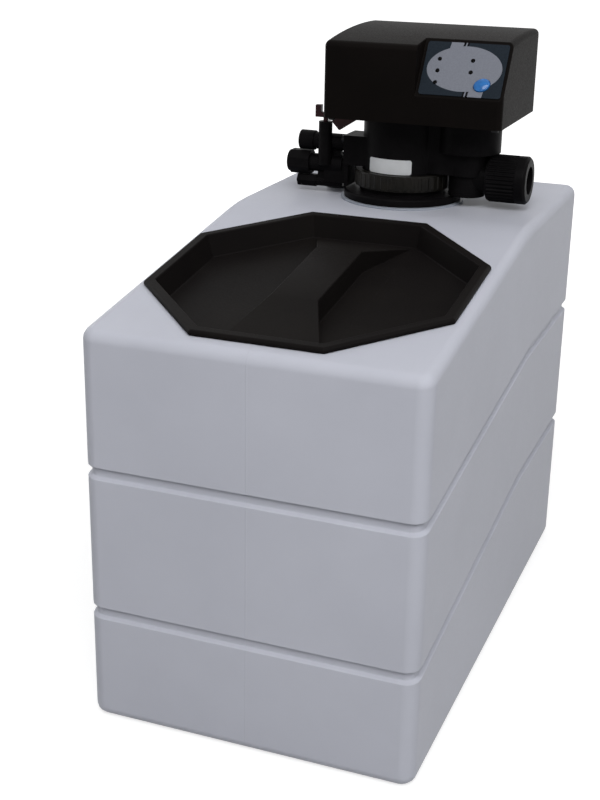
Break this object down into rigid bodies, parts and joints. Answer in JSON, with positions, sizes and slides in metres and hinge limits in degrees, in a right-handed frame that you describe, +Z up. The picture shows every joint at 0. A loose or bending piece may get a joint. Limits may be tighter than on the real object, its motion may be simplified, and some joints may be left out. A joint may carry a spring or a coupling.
{
  "type": "cabinet water softener",
  "caption": "Moulded cabinet water softener with an octagonal lift-off salt lid, an upright resin tank and a motor-driven piston valve under a display cover.",
  "frame": {"origin": "on the floor under the middle of the cabinet's rectangular base", "axes": "+Z up, the cabinet's front towards -Y, +X to the right as seen from the front"},
  "size_m": [0.25, 0.4807, 0.4785],
  "materials": {
    "moulded_cabinet": "fine satin grain",
    "black_moulding": "fine satin grain",
    "black_nylon": "smooth, glass filled",
    "panel_film": "glossy printed film",
    "blue_button": "glossy",
    "white_plastic": "smooth",
    "label_film": "smooth film, bare",
    "tank_resin": "wound glass fibre in resin",
    "ion_resin": "wet beads",
    "steel": "drawn",
    "brass": "turned",
    "seal_rubber": "moulded",
    "red_plastic": "smooth",
    "board_laminate": "solder mask",
    "lens_plastic": "unlit"
  },
  "bodies": {
    "cabinet": {"cabinet_shell": "moulded_cabinet", "neck_trim_ring": "moulded_cabinet", "head_cover": "black_moulding", "valve_body": "black_nylon", "tank_adapter": "black_nylon", "coupling_ring": "black_nylon", "turret_plug": "black_nylon", "injector_body": "black_nylon", "injector_cap": "black_nylon", "drain_cap": "black_nylon", "drain_barb": "black_nylon", "brine_nut": "black_nylon", "brine_elbow": "black_nylon", "drive_base": "black_nylon", "end_plug": "black_nylon", "overflow_elbow": "black_nylon", "overflow_nut": "black_nylon", "brine_well_cap": "black_nylon", "tank_boot": "black_nylon", "power_inlet": "black_nylon", "tube_grommet": "seal_rubber", "riser_o_ring": "seal_rubber", "neck_o_ring": "seal_rubber", "piston_seals": "seal_rubber", "salt_grid": "white_plastic", "grid_legs": "white_plastic", "brine_well": "white_plastic", "air_check": "white_plastic", "brine_tube": "white_plastic", "riser_tube": "white_plastic", "bottom_basket": "white_plastic", "top_basket": "white_plastic", "seal_spacers": "white_plastic", "injector_nozzle": "white_plastic", "float_rod": "steel", "guide_post": "steel", "idler_pin": "steel", "drive_motor": "steel", "cover_screws": "steel", "injector_screws": "steel", "bleed_spring": "steel", "resin_bed": "ion_resin", "resin_tank": "tank_resin", "display_panel": "panel_film", "panel_leds": "lens_plastic", "circuit_board": "board_laminate", "blank_label": "label_film"},
    "lid": {"salt_lid": "black_moulding"},
    "drive": {"drive_gear": "white_plastic"},
    "piston": {"main_piston": "white_plastic", "piston_rod": "steel", "rod_arm": "black_nylon"},
    "idler": {"idler_gear": "white_plastic"},
    "pinion": {"motor_pinion": "brass"},
    "turbine": {"turbine_rotor": "white_plastic"},
    "outlet_union": {"outlet_nut": "black_nylon"},
    "inlet_union": {"inlet_nut": "black_nylon"},
    "float": {"brine_float": "ion_resin"},
    "button": {"panel_button": "blue_button"},
    "bleed": {"bleed_stem": "red_plastic"}
  },
  "joints": [
    {"name": "lid_lift", "type": "slide", "parent": "cabinet", "child": "lid", "axis": [0, -0.1472, 0.9891], "range_m": [0, 0.15]},
    {"name": "drive_turn", "type": "hinge", "parent": "cabinet", "child": "drive", "pos_m": [0, 0.103, 0.43], "axis": [0, 0, 1], "range_deg": [0, 288]},
    {"name": "piston_lift", "type": "slide", "parent": "cabinet", "child": "piston", "axis": [0, 0, 1], "range_m": [0, 0.016]},
    {"name": "idler_turn", "type": "hinge", "parent": "cabinet", "child": "idler", "pos_m": [0.02298, 0.12228, 0.43], "axis": [0, 0, 1], "range_deg": [-1152, 0]},
    {"name": "motor_turn", "type": "hinge", "parent": "cabinet", "child": "pinion", "pos_m": [0.04553, 0.11407, 0.437], "axis": [0, 0, 1], "range_deg": [0, 3456]},
    {"name": "turbine_spin", "type": "hinge", "parent": "cabinet", "child": "turbine", "pos_m": [0.0565, 0.098, 0.386], "axis": [0, 0, 1], "continuous": true},
    {"name": "outlet_union_turn", "type": "hinge", "parent": "cabinet", "child": "outlet_union", "pos_m": [0.0917, 0.098, 0.3645], "axis": [1, 0, 0], "continuous": true},
    {"name": "inlet_union_turn", "type": "hinge", "parent": "cabinet", "child": "inlet_union", "pos_m": [0, 0.1715, 0.383], "axis": [0, 1, 0], "continuous": true},
    {"name": "float_rise", "type": "slide", "parent": "cabinet", "child": "float", "axis": [0, 0, 1], "range_m": [0, 0.1]},
    {"name": "button_press", "type": "slide", "parent": "cabinet", "child": "button", "axis": [0, 0.8387, -0.5446], "range_m": [0, 0.0008], "stiffness_N_per_m": 800, "springref_m": -0.0005},
    {"name": "bleed_press", "type": "slide", "parent": "cabinet", "child": "bleed", "axis": [0, 0, -1], "range_m": [0, 0.003], "stiffness_N_per_m": 400, "springref_m": -0.002, "deforming": ["bleed_spring"]}
  ],
  "couplings": [
    {"joint": "piston_lift", "follows": "drive_turn", "m_per_rad": 0.003183},
    {"joint": "idler_turn", "follows": "drive_turn", "ratio": -4},
    {"joint": "motor_turn", "follows": "drive_turn", "ratio": 12}
  ]
}
